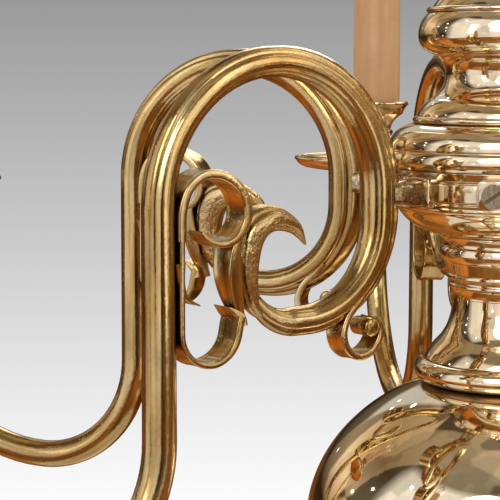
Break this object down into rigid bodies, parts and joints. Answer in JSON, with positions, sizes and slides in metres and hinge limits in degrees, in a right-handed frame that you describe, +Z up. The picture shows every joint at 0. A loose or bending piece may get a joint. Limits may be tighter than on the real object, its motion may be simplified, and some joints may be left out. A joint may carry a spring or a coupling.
{
  "type": "multi arm chandelier",
  "caption": "Brass chandelier with scrolling S-shaped arms round a turned stem and ball, drip pans and electric candles, hung from a drilled eye, with a pull ring below.",
  "frame": {"origin": "centre of the hanging eye's bore", "axes": "+Z up along the stem; +X along the first arm; +Y along the hanging eye's bore"},
  "size_m": [0.723, 0.6394, 0.548],
  "materials": {
    "arm_brass": "satin",
    "polished_brass": "polished",
    "candle": "satin",
    "ceramic_white": "glazed",
    "bulb_glass": "clear",
    "steel": "brushed",
    "dark_steel": "worn",
    "wire": "matte"
  },
  "bodies": {
    "fixture": {"hanging_eye": "arm_brass", "top_knop": "polished_brass", "upper_bead": "polished_brass", "upper_baluster": "polished_brass", "knop_ring": "polished_brass", "stem_knop": "polished_brass", "bead_ring": "polished_brass", "hub_cap": "polished_brass", "hub_ring": "polished_brass", "hub_bowl": "polished_brass", "hub_spool": "polished_brass", "lower_neck": "polished_brass", "ball_collar": "polished_brass", "ball_upper": "polished_brass", "ball_lower": "polished_brass", "bottom_cup": "polished_brass", "bottom_finial": "polished_brass", "centre_rod": "steel", "rod_nuts": "steel", "hub_screws": "dark_steel", "arm_nuts": "steel", "terminal_block": "ceramic_white", "arm_wires": "wire", "arm_1": "arm_brass", "arm_2": "arm_brass", "arm_3": "arm_brass", "arm_4": "arm_brass", "arm_5": "arm_brass", "arm_6": "arm_brass", "drip_pan_1": "polished_brass", "drip_pan_2": "polished_brass", "drip_pan_3": "polished_brass", "drip_pan_4": "polished_brass", "drip_pan_5": "polished_brass", "drip_pan_6": "polished_brass", "candle_cup_1": "polished_brass", "candle_cup_2": "polished_brass", "candle_cup_3": "polished_brass", "candle_cup_4": "polished_brass", "candle_cup_5": "polished_brass", "candle_cup_6": "polished_brass", "candle_sleeve_1": "candle", "candle_sleeve_2": "candle", "candle_sleeve_3": "candle", "candle_sleeve_4": "candle", "candle_sleeve_5": "candle", "candle_sleeve_6": "candle", "lampholder_1": "ceramic_white", "lampholder_2": "ceramic_white", "lampholder_3": "ceramic_white", "lampholder_4": "ceramic_white", "lampholder_5": "ceramic_white", "lampholder_6": "ceramic_white", "bulb_1": "bulb_glass", "bulb_2": "bulb_glass", "bulb_3": "bulb_glass", "bulb_4": "bulb_glass", "bulb_5": "bulb_glass", "bulb_6": "bulb_glass"},
    "pull_ring": {"pull_ring": "arm_brass"}
  },
  "joints": [
    {"name": "pull_ring_swing", "type": "hinge", "parent": "fixture", "child": "pull_ring", "pos_m": [0, 0, -0.497], "axis": [0, 1, 0], "range_deg": [-75, 75]}
  ]
}
